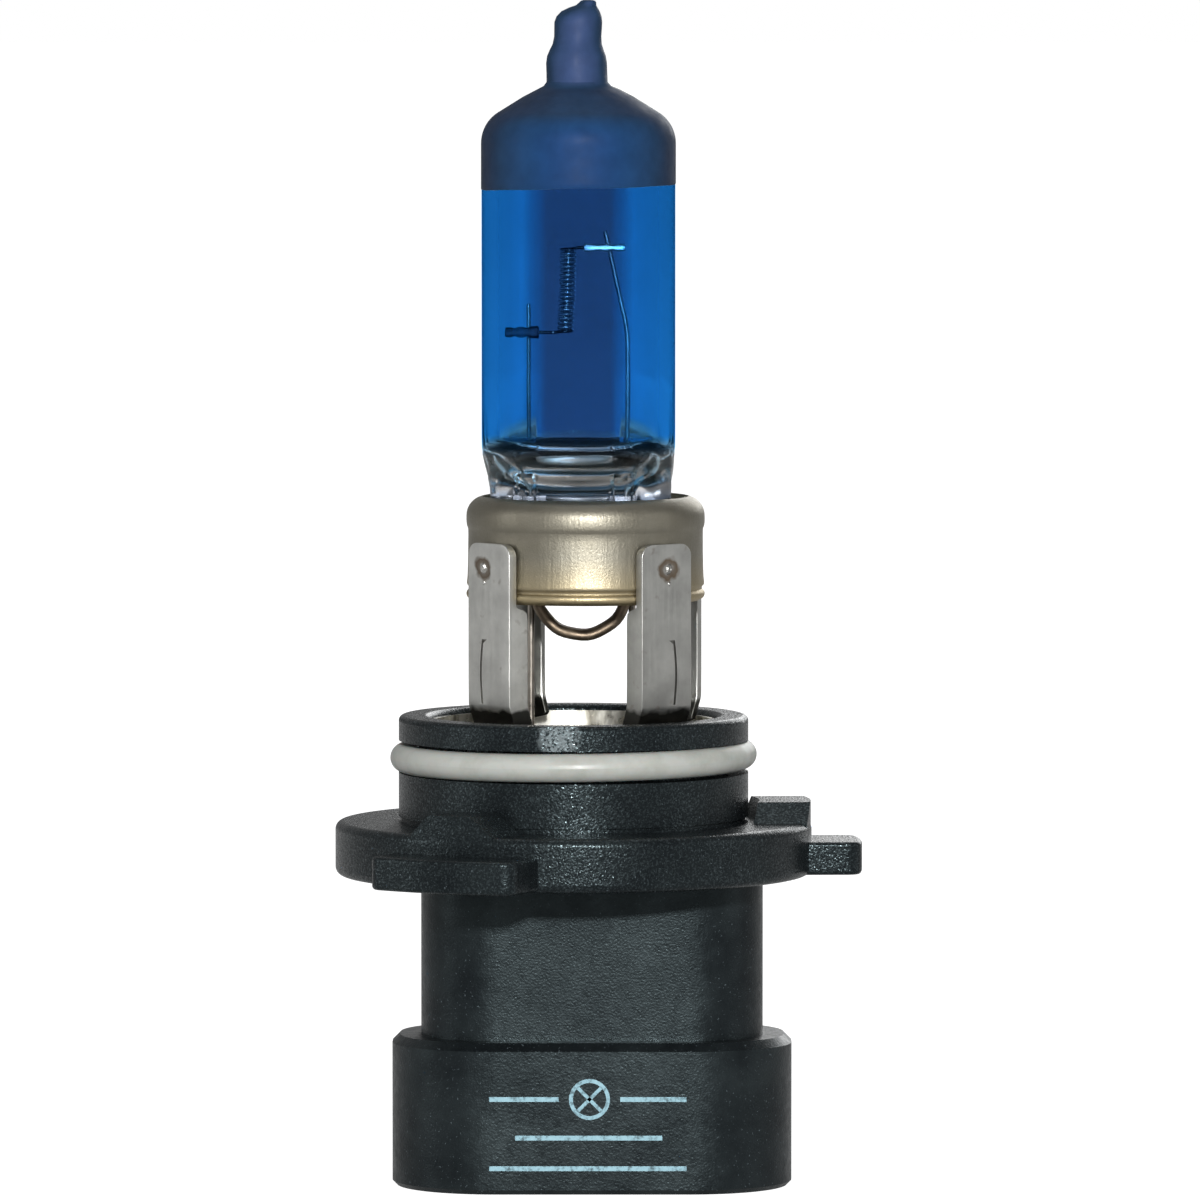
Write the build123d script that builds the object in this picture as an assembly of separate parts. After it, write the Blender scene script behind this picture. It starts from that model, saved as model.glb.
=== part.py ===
from build123d import *
import math
import os

# Headlight bulb with a straight two-blade plug. Millimetres, +Z towards the tip of the glass.
# The flat front of the plug faces -Y and +X is to the right. The origin is on the axis of the
# 22 mm pilot collar, at the height of the three seat pads: the lamp's reference plane.
# An azimuth is measured from the front (-Y) towards +X.

# Base housing
PILOT_R = 10.9
RIM_TOP = 5.35
RIM_BOTTOM = 3.8
RIM_ROUND = 0.35
GROOVE_BOTTOM = 1.8
GROOVE_R = 9.65
FLANGE_R = 14.85
FLANGE_TOP = -1.25
FLANGE_BOTTOM = -4.6
FOOT_GROOVE_H = 0.3
FOOT_GROOVE_DEPTH = 0.2
PAD_INNER_R = 11.6
PAD_SLOPE_RUN = 1.4
PAD_EASE = 0.3
SEAT_PADS = ((-31.0, 3.0), (94.0, 5.0), (-148.0, 3.0))  # azimuth, width of the top
LUG_R = 18.0
LUG_TOP = -2.45
LUG_BOTTOM = -4.5
LUGS = ((-28.0, 10.0), (92.0, 6.0), (-148.0, 7.0))  # azimuth, width: unequal, so they key the lamp
LUG_CORNER = 0.9
LUG_EASE = 0.25
GATE_LEFT = -2.0
GATE_RIGHT = 0.28
GATE_DEPTH = 0.3

# Plug shroud
PLUG_X = 1.15
NECK_SIZE = (21.3, 10.9)
NECK_CORNER = 4.65
BAND_SIZE = (24.9, 14.4)
BAND_CORNER = 6.4
BAND_TOP = -14.55
BASE_BOTTOM = -23.95
NECK_WALL = 1.6
BAND_WALL = 1.7
SOCKET_STEP = -15.4
SOCKET_ROOF = -12.0
CHAMBER_SIZE = (15.0, 6.6)
CHAMBER_CORNER = 2.5
CHAMBER_FLOOR = -8.5
POTTING_TOP = -3.6
BLADE_SIZE = (2.8, 0.8)
BLADE_SPACING = 6.4
BLADE_TOP = -5.2
BLADE_TIP = -22.0
BLADE_BEVEL = 0.3

# Seal ring
SEAL_SECTION_R = 0.875
SEAL_MEAN_R = 10.55
SEAL_TILT = -0.6

# Metal cup moulded into the base, with four upright tabs that carry the legs
CUP_R = 8.95
CUP_WALL = 0.3
CUP_TOP = 5.0
CUP_BOTTOM = -2.6
CUP_HOLE_R = 5.5
TAB_WIDTH = 2.2
TAB_TOP = 2.0

# Ferrule and the four legs under it: the capsule is aligned slightly off the cap's axis
FERRULE_X = 0.75
FERRULE_R = 7.425
FERRULE_WALL = 0.35
FERRULE_TOP = 19.05
FERRULE_BOTTOM = 12.5
FERRULE_SHOULDER = 1.1
FERRULE_MOUTH_R = 6.45
FERRULE_LINES = ((13.45, 0.15, 0.12), (17.0, 0.1, 0.06))  # height, width and depth of each rolled line
LEG_AZIMUTHS = (-50.0, 40.0, 130.0, 220.0)
LEG_WIDTH = 4.0
LEG_THICK = 0.4
LEG_TOP = 16.3
LEG_SHOULDER = 5.2
LEG_FOOT = -1.5
LEG_CORNER = 0.8
LEG_FLANGE_DEPTH = 1.1
LEG_FLANGE_TOP = 12.2
SLIT_WIDTH = 0.3
SLIT_TOP = 10.35
SLIT_BOTTOM = 6.65
SLIT_OFFSET = 0.7
SLIT_HOOK = 0.9
WELD_Z = 14.65
WELD_R = 0.55
WELD_HEIGHT = 0.08

# Plates and bow that hold the pinch in the ferrule
LOWER_PLATE = (13.2, 13.6)
UPPER_PLATE = (17.6, 17.95)
PLATE_CLEARANCE = 0.05
BOW_X = 0.5
BOW_R = 3.15
BOW_THICK = 0.65
BOW_WIDTH = 2.4
BOW_NOTCH_R = 0.29

# Glass capsule
GLASS_X = 0.31
GLASS_R = 6.0
GLASS_WALL = 1.0
TUBE_BOTTOM = 22.2
SHOULDER_Z = 42.17  # where the tube's wall and the dome's cone would meet
SHOULDER_R = 2.2
DOME_TOP = 44.7
STEM_X = 0.2
STEM_R = 1.83
NECK_R = 1.4
NECK_LOW = 46.25
NECK_HIGH = 47.05
STEM_TOP = 49.5
STEM_ROUND = 0.9
NUB_X = 0.93
NUB_R = 0.46
NUB_TOP = 49.85
CAVITY_BOTTOM = 22.9
CAVITY_CORNER = 2.2
BORE_R = 1.0
PINCH_X = 0.45
PINCH_WIDTH = 11.25
PINCH_WEB = 2.6
RIB_SIZE = (1.8, 4.6)
PINCH_BOTTOM = 13.6
PINCH_TOP = 20.2
COATING_EDGE_Z = 38.25
COATING_EDGE_TILT = 1.5
BLACKOUT_THICK = 0.06
FILTER_THICK = 0.03

# Current path
FOIL_WIDTH = 2.0
FOIL_THICK = 0.1
FOIL_BOTTOM = 15.2
FOIL_TOP = 19.2
FOIL_Y = 0.4
FOIL_X = (-2.75, 3.5)
OUTER_LEAD_X = (-2.65, 3.65)
OUTER_LEAD_Y = 0.3
OUTER_LEAD_R = 0.22
INNER_LEAD_R = 0.25
SHORT_LEAD = (-2.83, 0.59)
SHORT_LEAD_TOP = 31.0
LONG_LEAD = (3.4, 0.475)
LONG_LEAD_BEND_Z = 29.0
LONG_LEAD_END = (1.96, 35.5)
LONG_LEAD_BEND_R = 4.0
COIL_FOOT = (-0.53, 29.2)
COIL_HEAD = (-0.31, 34.45)
COIL_TURNS = 16.5
COIL_MEAN_R = 0.45
COIL_WIRE_R = 0.1
UPPER_CLAMP = (0.65, 3.2, 0.225)  # mouth, closed end and radius of the crimp tube
UPPER_TAIL_END = 2.6
LOWER_CLAMP = (-2.15, -4.3, 0.34)
LOWER_TAIL_END = -3.2


def disc(radius, bottom, top, x=0.0):
    """Upright cylinder between two heights."""
    return Pos(x, 0, (bottom + top) / 2) * Cylinder(radius, top - bottom)


def ring(outer, inner, bottom, top, x=0.0):
    """Upright tube between two heights."""
    return disc(outer, bottom, top, x) - disc(inner, bottom, top, x)


def block(x, y, z):
    """Box from three (low, high) pairs."""
    size = [high - low for low, high in (x, y, z)]
    return Pos(*[(low + high) / 2 for low, high in (x, y, z)]) * Box(*size)


def prism(sketch, bottom, top):
    """Flat outline raised between two heights."""
    return Pos(0, 0, bottom) * extrude(sketch, top - bottom)


def turned(shape, azimuth, x=0.0):
    """Turn a shape built at the front of the axis at x to an azimuth."""
    return Pos(x, 0, 0) * Rot(0, 0, azimuth) * shape


def rounded(size, corner, x):
    """Rounded rectangle centred at x."""
    return Pos(x, 0) * RectangleRounded(*size, corner)


def upright_rod(radius, x, y, bottom, top):
    return Pos(x, y, (bottom + top) / 2) * Cylinder(radius, top - bottom)


def level_rod(radius, start, end, z):
    """Rod along X between two places, in the plane of the filament."""
    return Pos((start + end) / 2, 0, z) * Rot(0, 90, 0) * Cylinder(radius, abs(end - start))


def pilot_collar():
    """Collar with the seal groove, from the flange to the rounded rim."""
    rim = ring(PILOT_R, CUP_R, RIM_BOTTOM, RIM_TOP)
    rim = fillet(rim.edges().group_by(Axis.Z)[-1], RIM_ROUND)
    gate = block((GATE_LEFT, GATE_RIGHT), (-PILOT_R - 1, GATE_DEPTH - PILOT_R), (RIM_BOTTOM, RIM_TOP))
    groove = disc(GROOVE_R, GROOVE_BOTTOM, RIM_BOTTOM)
    foot = disc(PILOT_R - FOOT_GROOVE_DEPTH, FLANGE_TOP, FLANGE_TOP + FOOT_GROOVE_H)
    lower = disc(PILOT_R, FLANGE_TOP + FOOT_GROOVE_H, GROOVE_BOTTOM)
    return (rim - gate) + groove + lower + foot


def flange():
    """Round flange with its edges eased."""
    plate = disc(FLANGE_R, FLANGE_BOTTOM, FLANGE_TOP)
    return fillet(plate.edges().filter_by(GeomType.CIRCLE), 0.5)


def seat_pad(azimuth, top_width):
    """Raised pad with sloping ends, flush with the flange's rim."""
    low, high = top_width / 2 + PAD_SLOPE_RUN, top_width / 2
    bottom = FLANGE_TOP - 0.5
    outline = make_face(Polyline((-low, bottom), (-low, FLANGE_TOP), (-high, 0), (high, 0), (low, FLANGE_TOP),
                                 (low, bottom), close=True))
    outline = fillet(outline.vertices().group_by(Axis.Y)[-1], PAD_EASE)
    bar = extrude(Plane.XZ * outline, FLANGE_R + 1)
    return turned(bar & ring(FLANGE_R - 0.05, PAD_INNER_R, bottom, 0), azimuth)


def bayonet_lug(azimuth, width):
    """Flat lug that reaches out past the flange."""
    reach = LUG_R - PILOT_R
    outline = Circle(LUG_R) & Pos(0, -PILOT_R - reach / 2) * Rectangle(width, reach)
    outline = fillet(outline.vertices().sort_by(Axis.Y)[:2], LUG_CORNER)
    lug = prism(outline, LUG_BOTTOM, LUG_TOP)
    lug = fillet(lug.faces().sort_by(Axis.Z)[-1].edges() + lug.faces().sort_by(Axis.Z)[0].edges(), LUG_EASE)
    return turned(lug, azimuth)


def plug_shroud():
    """Rounded neck and the wider band at the mouth of the socket."""
    neck = prism(rounded(NECK_SIZE, NECK_CORNER, PLUG_X), BAND_TOP, FLANGE_BOTTOM + 0.8)
    band = prism(rounded(BAND_SIZE, BAND_CORNER, PLUG_X), BASE_BOTTOM, BAND_TOP)
    band = chamfer(band.faces().sort_by(Axis.Z)[-1].edges(), 0.5)
    band = chamfer(band.faces().sort_by(Axis.Z)[0].edges(), 0.3)
    return neck + band


def socket_space():
    """Hollow that the plug enters, stepped where the neck meets the band."""
    neck = [side - 2 * NECK_WALL for side in NECK_SIZE]
    band = [side - 2 * BAND_WALL for side in BAND_SIZE]
    upper = prism(rounded(neck, NECK_CORNER - NECK_WALL, PLUG_X), SOCKET_STEP, SOCKET_ROOF)
    lower = prism(rounded(band, BAND_CORNER - BAND_WALL, PLUG_X), BASE_BOTTOM, SOCKET_STEP)
    return upper + lower


def chamber_space():
    """Well above the partition, where the leads meet the blades."""
    return prism(rounded(CHAMBER_SIZE, CHAMBER_CORNER, PLUG_X), CHAMBER_FLOOR, CUP_BOTTOM)


def base_housing():
    """One plastic moulding: collar, flange, pads, lugs and plug shroud."""
    body = pilot_collar() + flange() + plug_shroud()
    for azimuth, width in SEAT_PADS:
        body += seat_pad(azimuth, width)
    for azimuth, width in LUGS:
        body += bayonet_lug(azimuth, width)
    body -= disc(CUP_R, CUP_BOTTOM, RIM_TOP)
    body -= chamber_space()
    body -= socket_space()
    for side in (-1, 1):
        body -= terminal_blade(side)
    return body


def seal_ring():
    """Round-section ring, seated a little askew in its groove."""
    height = (GROOVE_BOTTOM + RIM_BOTTOM) / 2
    return Pos(0, 0, height) * Rot(0, SEAL_TILT, 0) * Torus(SEAL_MEAN_R, SEAL_SECTION_R)


def terminal_blade(side):
    """Flat blade with a bevelled tip; side is -1 for the left one and +1 for the right one."""
    x = PLUG_X + side * BLADE_SPACING / 2
    blade = block((x - BLADE_SIZE[0] / 2, x + BLADE_SIZE[0] / 2), (-BLADE_SIZE[1] / 2, BLADE_SIZE[1] / 2),
                  (BLADE_TIP, BLADE_TOP))
    return chamfer(blade.faces().sort_by(Axis.Z)[0].edges(), BLADE_BEVEL)


def potting_seal(leads):
    """Resin that seals the chamber round the blades and leads."""
    seal = prism(rounded(CHAMBER_SIZE, CHAMBER_CORNER, PLUG_X), CHAMBER_FLOOR, POTTING_TOP)
    for side in (-1, 1):
        seal -= terminal_blade(side)
    for lead in leads:
        seal -= lead
    return seal


def support_cup():
    """Thin metal cup with an open floor and four upright weld tabs."""
    cup = ring(CUP_R, CUP_R - CUP_WALL, CUP_BOTTOM, CUP_TOP)
    cup += ring(CUP_R, CUP_HOLE_R, CUP_BOTTOM, CUP_BOTTOM + CUP_WALL)
    tab = block((-TAB_WIDTH / 2, TAB_WIDTH / 2), (-FERRULE_R, LEG_THICK - FERRULE_R), (CUP_BOTTOM, TAB_TOP))
    for azimuth in LEG_AZIMUTHS:
        cup += turned(tab, azimuth, FERRULE_X)
    return cup


def leg_slit(outer):
    """Slit lanced through a leg: a long cut on its outer half and a short hook towards the middle."""
    through = (-FERRULE_R - 1, 1 - FERRULE_R)
    far = SLIT_OFFSET + SLIT_WIDTH
    line = sorted((outer * SLIT_OFFSET, outer * far))
    hook = sorted((outer * far, outer * (far - SLIT_HOOK)))
    slit = block(line, through, (SLIT_BOTTOM, SLIT_TOP))
    return slit + block(hook, through, (SLIT_TOP - SLIT_WIDTH, SLIT_TOP))


def support_leg(azimuth, outer):
    """Stamped leg from the ferrule down into the cup; outer is its side away from the centre line."""
    face = (-FERRULE_R - LEG_THICK, -FERRULE_R)
    half = LEG_WIDTH / 2
    web = block((-half, half), face, (LEG_SHOULDER, LEG_TOP))
    corners = web.edges().filter_by(Axis.Y).group_by(Axis.Z)[-1]
    leg = fillet(corners, LEG_CORNER)
    leg += block((-TAB_WIDTH / 2, TAB_WIDTH / 2), face, (LEG_FOOT, LEG_SHOULDER))
    edge = sorted((-outer * half, -outer * (half - LEG_THICK)))
    inward = (-FERRULE_R, LEG_FLANGE_DEPTH - FERRULE_R)
    leg += block(edge, inward, (LEG_SHOULDER + 0.3, LEG_FLANGE_TOP))
    leg -= leg_slit(outer)
    leg += Pos(0, -FERRULE_R - LEG_THICK, WELD_Z) * Rot(90, 0, 0) * Cylinder(WELD_R, 2 * WELD_HEIGHT)
    return turned(leg, azimuth, FERRULE_X)


def capsule_ferrule():
    """Drawn metal sleeve with a rounded shoulder and two rolled lines."""
    outer = disc(FERRULE_R, FERRULE_BOTTOM, FERRULE_TOP, FERRULE_X)
    outer = fillet(outer.edges().sort_by(Axis.Z)[-1], FERRULE_SHOULDER)
    inner = disc(FERRULE_R - FERRULE_WALL, FERRULE_BOTTOM, FERRULE_TOP - FERRULE_WALL, FERRULE_X)
    inner = fillet(inner.edges().sort_by(Axis.Z)[-1], FERRULE_SHOULDER - FERRULE_WALL)
    sleeve = outer - inner - disc(FERRULE_MOUTH_R, FERRULE_BOTTOM, FERRULE_TOP, FERRULE_X)
    for height, width, depth in FERRULE_LINES:
        sleeve -= ring(FERRULE_R + 1, FERRULE_R - depth, height, height + width, FERRULE_X)
    return sleeve


def lower_retainer_plate():
    """Disc across the ferrule that the pinch stands on, with two holes for the leads."""
    plate = disc(FERRULE_R - FERRULE_WALL, *LOWER_PLATE, FERRULE_X)
    for x in OUTER_LEAD_X:
        plate -= upright_rod(2 * OUTER_LEAD_R, x, OUTER_LEAD_Y, *LOWER_PLATE)
    return plate


def upper_retainer_plate():
    """Disc across the ferrule with a slot that grips the pinch's ribs."""
    slot = (PINCH_WIDTH + 2 * PLATE_CLEARANCE, RIB_SIZE[1] + 2 * PLATE_CLEARANCE)
    plate = disc(FERRULE_R - FERRULE_WALL, *UPPER_PLATE, FERRULE_X)
    return plate - prism(Pos(PINCH_X, 0) * Rectangle(*slot), *UPPER_PLATE)


def retainer_bow():
    """Half-round strap hung under the lower plate, notched where the leads pass its ends."""
    outline = Circle(BOW_R) - Circle(BOW_R - BOW_THICK)
    outline &= Pos(0, -BOW_R) * Rectangle(2 * BOW_R, 2 * BOW_R)
    top = LOWER_PLATE[0]
    plane = Plane(origin=(BOW_X, BOW_WIDTH / 2, top), x_dir=(1, 0, 0), z_dir=(0, -1, 0))
    bow = extrude(plane * outline, BOW_WIDTH)
    for x in OUTER_LEAD_X:
        bow -= upright_rod(BOW_NOTCH_R, x, OUTER_LEAD_Y, top - BOW_R, top)
    return bow


def turned_profile(points, corners, x):
    """Solid of revolution about the upright axis at x; corners maps a point's index to its fillet."""
    outline = Polyline(*points, close=True)
    face = make_face(outline)
    for index, radius in corners.items():
        spot = Vector(*points[index], 0)
        corner = min(face.vertices(), key=lambda v: (Vector(*tuple(v)) - spot).length)
        face = fillet(corner, radius)
    return Pos(x, 0, 0) * revolve(Plane.XZ * face, Axis.Z)


def capsule_shape(extra, bottom):
    """Closed outer shape of the tube, dome and sealed exhaust stem, grown by extra all round."""
    tube_r, stem_r, neck_r, nub_r = [r + extra for r in (GLASS_R, STEM_R, NECK_R, NUB_R)]
    tube = turned_profile([(0, bottom), (tube_r, bottom), (tube_r, SHOULDER_Z + extra),
                           (stem_r, DOME_TOP + extra), (0, DOME_TOP + extra)],
                          {2: SHOULDER_R}, GLASS_X)
    stem = turned_profile([(0, DOME_TOP - 1), (stem_r, DOME_TOP - 1), (stem_r, NECK_LOW + extra),
                           (neck_r, NECK_HIGH + extra), (neck_r, STEM_TOP + extra), (0, STEM_TOP + extra)],
                          {4: STEM_ROUND, 3: 1.0, 2: 0.6}, STEM_X)
    nub_z = NUB_TOP - BLACKOUT_THICK - NUB_R
    nub = upright_rod(nub_r, NUB_X, 0, NECK_HIGH + 0.5, nub_z) + Pos(NUB_X, 0, nub_z) * Sphere(nub_r)
    return tube + stem + nub


def capsule_cavity():
    """Gas space inside the glass."""
    inner = GLASS_R - GLASS_WALL
    top = DOME_TOP - 1.3 * GLASS_WALL
    return turned_profile([(0, CAVITY_BOTTOM), (inner, CAVITY_BOTTOM), (inner, SHOULDER_Z - 0.5 * GLASS_WALL),
                           (BORE_R, top), (0, top)], {2: SHOULDER_R - 1, 1: CAVITY_CORNER}, GLASS_X)


def pinch():
    """Pressed H-section foot of the glass and the waist that joins it to the tube."""
    section = Pos(PINCH_X, 0) * Rectangle(PINCH_WIDTH, PINCH_WEB)
    for side in (-1, 1):
        section += Pos(PINCH_X + side * (PINCH_WIDTH - RIB_SIZE[0]) / 2, 0) * RectangleRounded(*RIB_SIZE, 0.5)
    foot = prism(section, PINCH_BOTTOM, PINCH_TOP)
    low = Pos(PINCH_X, 0, PINCH_TOP) * RectangleRounded(PINCH_WIDTH, RIB_SIZE[1], 1.0)
    high = Pos(GLASS_X, 0, TUBE_BOTTOM) * Circle(GLASS_R)
    return foot + loft([low, high])


def glass_envelope(embedded):
    """Quartz capsule, pressed flat round the foils and lead ends."""
    glass = capsule_shape(0, TUBE_BOTTOM) + pinch() - capsule_cavity()
    for piece in embedded:
        glass -= piece
    return glass


def coating_half(upper):
    """Half-space above or below the painted cap's edge, which runs slightly uphill to the right."""
    span = 60.0
    shift = span / 2 if upper else -span / 2
    edge = Pos(GLASS_X, 0, COATING_EDGE_Z) * Rot(0, -COATING_EDGE_TILT, 0)
    return edge * Pos(0, 0, shift) * Box(span, span, span)


def blackout_coating():
    """Opaque paint over the dome and stem."""
    grown = capsule_shape(BLACKOUT_THICK, TUBE_BOTTOM) - capsule_shape(0, TUBE_BOTTOM)
    return grown & coating_half(True)


def blue_filter_coating():
    """Thin interference filter on the clear stretch of the tube."""
    skin = ring(GLASS_R + FILTER_THICK, GLASS_R, TUBE_BOTTOM, SHOULDER_Z - SHOULDER_R, GLASS_X)
    return skin & coating_half(False)


def filament():
    """Upright coil with a straight tail at each end."""
    rise = COIL_HEAD[1] - COIL_FOOT[1]
    path = Helix(pitch=rise / COIL_TURNS, height=rise, radius=COIL_MEAN_R)
    start = Plane(origin=path @ 0, z_dir=path % 0)
    coil = sweep(start * Circle(COIL_WIRE_R), path=path, is_frenet=True)
    lean = math.degrees(math.atan((COIL_HEAD[0] - COIL_FOOT[0]) / rise))
    coil = Pos(COIL_FOOT[0], 0, COIL_FOOT[1]) * Rot(0, lean, 0) * Rot(0, 0, 180) * coil
    for x, z, end in ((COIL_FOOT[0] - COIL_MEAN_R, COIL_FOOT[1], LOWER_TAIL_END),
                      (COIL_HEAD[0] + COIL_MEAN_R, COIL_HEAD[1], UPPER_TAIL_END)):
        coil += level_rod(COIL_WIRE_R, x, end, z)
        coil += Pos(x, 0, z) * Sphere(COIL_WIRE_R * 1.05)
    return coil


def crimp_clamp(mouth, closed_end, radius, z, tail_end):
    """Crimped tube that grips a tail of the filament."""
    return level_rod(radius, mouth, closed_end, z) - level_rod(COIL_WIRE_R, mouth, tail_end, z)


def short_lead_in_wire():
    return upright_rod(INNER_LEAD_R, *SHORT_LEAD, FOIL_TOP, SHORT_LEAD_TOP)


def long_lead_in_wire():
    """Wire that runs up beside the coil and leans in over its head."""
    x, y = LONG_LEAD
    path = FilletPolyline((x, y, FOIL_TOP), (x, y, LONG_LEAD_BEND_Z), (LONG_LEAD_END[0], y, LONG_LEAD_END[1]),
                          radius=LONG_LEAD_BEND_R)
    return sweep(Pos(x, y, FOIL_TOP) * Circle(INNER_LEAD_R), path=path)


def foil(x):
    """Molybdenum ribbon sealed in the pinch."""
    wide, thick = FOIL_WIDTH / 2, FOIL_THICK / 2
    return block((x - wide, x + wide), (FOIL_Y - thick, FOIL_Y + thick), (FOIL_BOTTOM, FOIL_TOP))


def outer_lead(x):
    return upright_rod(OUTER_LEAD_R, x, OUTER_LEAD_Y, BLADE_TOP, FOIL_BOTTOM)


def build():
    """Every sub-part by its node name."""
    leads = [outer_lead(x) for x in OUTER_LEAD_X]
    foils = [foil(x) for x in FOIL_X]
    inner = [short_lead_in_wire(), long_lead_in_wire()]
    nodes = {
        "base_housing": base_housing(),
        "seal_ring": seal_ring(),
        "potting_seal": potting_seal(leads),
        "left_terminal_blade": terminal_blade(-1),
        "right_terminal_blade": terminal_blade(1),
        "support_cup": support_cup(),
        "capsule_ferrule": capsule_ferrule(),
        "lower_retainer_plate": lower_retainer_plate(),
        "upper_retainer_plate": upper_retainer_plate(),
        "retainer_bow": retainer_bow(),
        "glass_envelope": glass_envelope(leads + foils + inner),
        "blackout_coating": blackout_coating(),
        "blue_filter_coating": blue_filter_coating(),
        "filament": filament(),
        "upper_filament_clamp": crimp_clamp(*UPPER_CLAMP, COIL_HEAD[1], UPPER_TAIL_END),
        "lower_filament_clamp": crimp_clamp(*LOWER_CLAMP, COIL_FOOT[1], LOWER_TAIL_END),
        "short_lead_in_wire": inner[0],
        "long_lead_in_wire": inner[1],
        "left_foil": foils[0],
        "right_foil": foils[1],
        "left_outer_lead": leads[0],
        "right_outer_lead": leads[1],
    }
    for number, azimuth in enumerate(LEG_AZIMUTHS, 1):
        nodes[f"support_leg_{number}"] = support_leg(azimuth, -1 if number in (1, 3) else 1)
    return nodes


os.makedirs("parts", exist_ok=True)
for name, shape in build().items():
    export_step(shape, f"parts/{name}.step")
    print(name, round(shape.volume, 3), "mm3")
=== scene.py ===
import math

import bmesh
import bpy
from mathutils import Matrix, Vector, noise


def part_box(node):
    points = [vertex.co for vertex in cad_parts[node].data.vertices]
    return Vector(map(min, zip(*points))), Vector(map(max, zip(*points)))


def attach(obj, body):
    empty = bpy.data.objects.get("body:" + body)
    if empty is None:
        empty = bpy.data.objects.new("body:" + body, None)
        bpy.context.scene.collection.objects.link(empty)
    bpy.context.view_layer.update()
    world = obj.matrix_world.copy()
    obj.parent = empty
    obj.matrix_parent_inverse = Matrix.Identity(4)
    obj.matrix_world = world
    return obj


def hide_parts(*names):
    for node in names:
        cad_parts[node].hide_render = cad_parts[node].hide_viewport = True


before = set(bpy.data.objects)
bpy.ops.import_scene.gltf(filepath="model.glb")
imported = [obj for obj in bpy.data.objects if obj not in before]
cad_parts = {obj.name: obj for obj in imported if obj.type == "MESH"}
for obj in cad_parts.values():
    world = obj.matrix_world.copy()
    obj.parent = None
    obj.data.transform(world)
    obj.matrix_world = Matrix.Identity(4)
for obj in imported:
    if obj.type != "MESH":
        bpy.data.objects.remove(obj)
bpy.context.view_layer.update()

MM = 0.001

# Sizes are in millimetres, in the row frame: +Z to the tip of the glass, the plug's flat front faces -Y.

# Glass tube, its paint and its filter film
GLASS_X = 0.31
GLASS_R = 6.0
WALL = 1.0
GLASS_SIDES = 192
TUBE_BOTTOM = 21.95
EDGE_Z = 38.25
EDGE_TILT = math.radians(1.5)
PAINT = 0.06
PAINT_SIDES = 96
SKIN_GAP = 0.004
FILM_INSIDE = 0.008
FILM_OUTSIDE = 0.03
FILM_FADE = (21.5, 22.7)
# Heights over which the painted highlight on the stem comes in
STEM_HIGHLIGHT = (44.2, 44.6)

# Pinch
PINCH_X = 0.45
PINCH_WIDTH = 11.25
PINCH_WEB = 2.6
RIB_WIDTH = 1.8
RIB_DEPTH = 4.6
PINCH_BOTTOM = 13.6
PINCH_TOP = 18.9
LEAD_BOSSES = (-3.0, 3.05)
# Heights over which the painted navy shade in the pinch fades out
PINCH_SHADE = (PINCH_TOP, 20.7)
SMOKE_END = (21.3, 21.9)

# Filament
COIL_FOOT = (-0.53, 0.0, 29.2)
COIL_HEAD = (-0.31, 0.0, 34.45)
COIL_TURNS = 19.5
COIL_R = 0.44
COIL_WIRE = 0.105
COIL_SAG = 0.03

# Ferrule and the strap under it
FERRULE_X = 0.75
FERRULE_R = 7.425
GOLD_FOOT = (12.5, 15.5)
BOW_X = 0.5
BOW_TOP = 13.2
BOW_INSIDE_R = 2.51
BOW_THICK = 0.7
BOW_WIDTH = 2.4

# Legs: azimuth, side of the fold, place of the weld across the leg, tone of the steel. The tones are painted
# light and shade: lightest on the front-left leg, darker on the front-right one, darkest on the two behind.
LEGS = ((-50, 1, -0.5, 0.58), (40, -1, 0.15, 0.40), (130, 1, 0.2, 0.36), (220, -1, -0.3, 0.36))
LEG_THICK = 0.4
LEG_HALF = 2.0
TAB_HALF = 1.1
FOLD = 1.1
LEG_ROUGHNESS = 0.36
# Painted shade on the legs' feet: the heights over which it fades out
SHADED_FOOT = (5.5, 6.5)
WELD_Z = 14.75
SPATTER_Z = 13.85
SLIT_BOTTOM = 6.35
SLIT_LENGTH = 4.0
SLIT_HALF = 0.085

# Housing
FLANGE_BOTTOM = -4.6
GATE_MARK = (-0.86, -10.7, 4.7)
BAND_FRONT = -7.2

# Brightness of the surround: as the camera sees it, as it lights the bulb, and above and below through glass
BACKDROP = 1.0
SURROUND = 0.25
DIM = 0.12

# Lamps: name, place, target, size, watts. The small key above the camera makes the crisp glints and shadows.
LAMPS = (
    ("key", (30, -710, 185), (0, 0, 5), (34, 34), 4.7),
    ("soft_front", (-20, -600, 300), (0, 0, 10), (900, 560), 0.92),
    ("side_right", (560, -120, 120), (0, 0, 10), (160, 420), 0.24),
    ("side_left", (-560, -120, 120), (0, 0, 10), (160, 420), 0.46),
    ("above", (0, 60, 520), (0, 0, 20), (300, 300), 0.3),
    ("back", (220, 640, 220), (0, 0, 10), (420, 300), 1.2),
)

CAMERA_PLACE = (1.65, -700.0, 55.5)
CAMERA_AIM = (1.65, 0.0, 12.5)
LENS = 337.7
SENSOR = 36.0


# ---------------------------------------------------------------- mesh tools


def new_piece(name, bm, material, node=None, sharp=35.0):
    """Makes a smooth-shaded object from a bmesh in millimetres and hangs it on the frame."""
    for v in bm.verts:
        v.co *= MM
    bmesh.ops.remove_doubles(bm, verts=bm.verts, dist=1e-7)
    bm.normal_update()
    limit = math.radians(sharp)
    for f in bm.faces:
        f.smooth = True
    for e in bm.edges:
        e.smooth = len(e.link_faces) == 2 and e.calc_face_angle(0.0) < limit
    mesh = bpy.data.meshes.new(name)
    bm.to_mesh(mesh)
    bm.free()
    mesh.materials.append(material)
    piece = bpy.data.objects.new(name, mesh)
    bpy.context.scene.collection.objects.link(piece)
    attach(piece, "root")
    if node:
        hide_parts(node)
    return piece


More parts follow.
